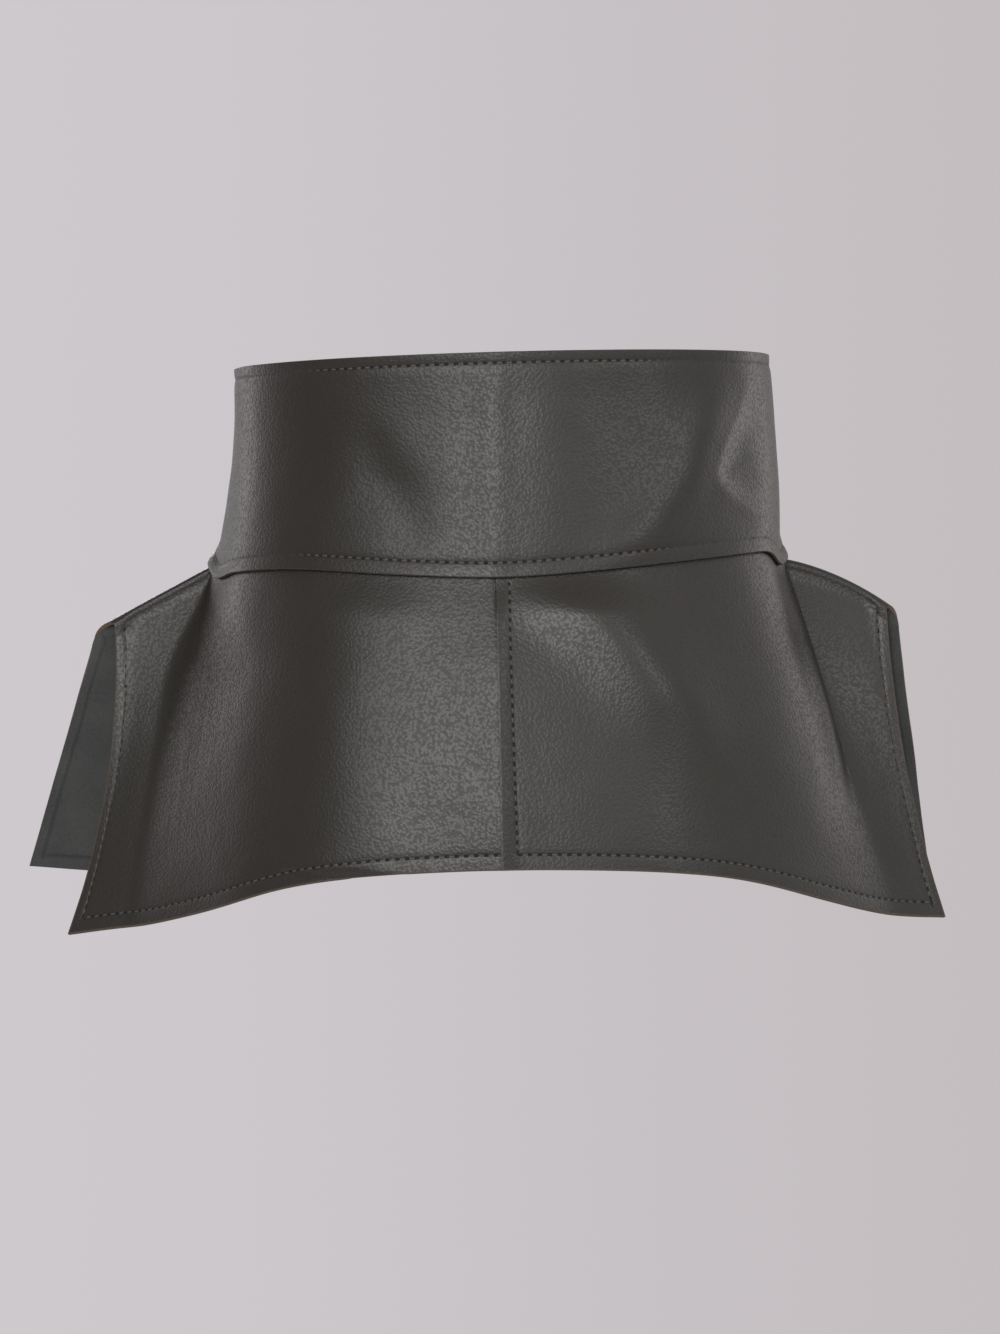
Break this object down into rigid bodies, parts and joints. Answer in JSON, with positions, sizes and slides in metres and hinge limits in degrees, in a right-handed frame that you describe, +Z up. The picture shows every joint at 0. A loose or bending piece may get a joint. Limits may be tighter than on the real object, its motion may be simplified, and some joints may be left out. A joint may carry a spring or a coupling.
{
  "type": "peplum waist belt",
  "caption": "Wide leather waist belt: a deep plain band over a flared peplum that is folded into a slanting ridge and two loose wings at each hip.",
  "frame": {"origin": "middle of the waist hollow, half-way up the band", "axes": "+Z up the wearer's body, -Y the wearer's back, which the picture shows, +Y the front with the closure, +X the wearer's right"},
  "size_m": [0.4103, 0.2301, 0.2506],
  "materials": {
    "leather": "semi-matt, fine grain, felt-like backing",
    "hook_tape": "matt"
  },
  "bodies": {
    "root": {"waistband": "leather", "peplum_left": "leather", "peplum_right": "leather", "closure_strip": "hook_tape"}
  },
  "joints": []
}
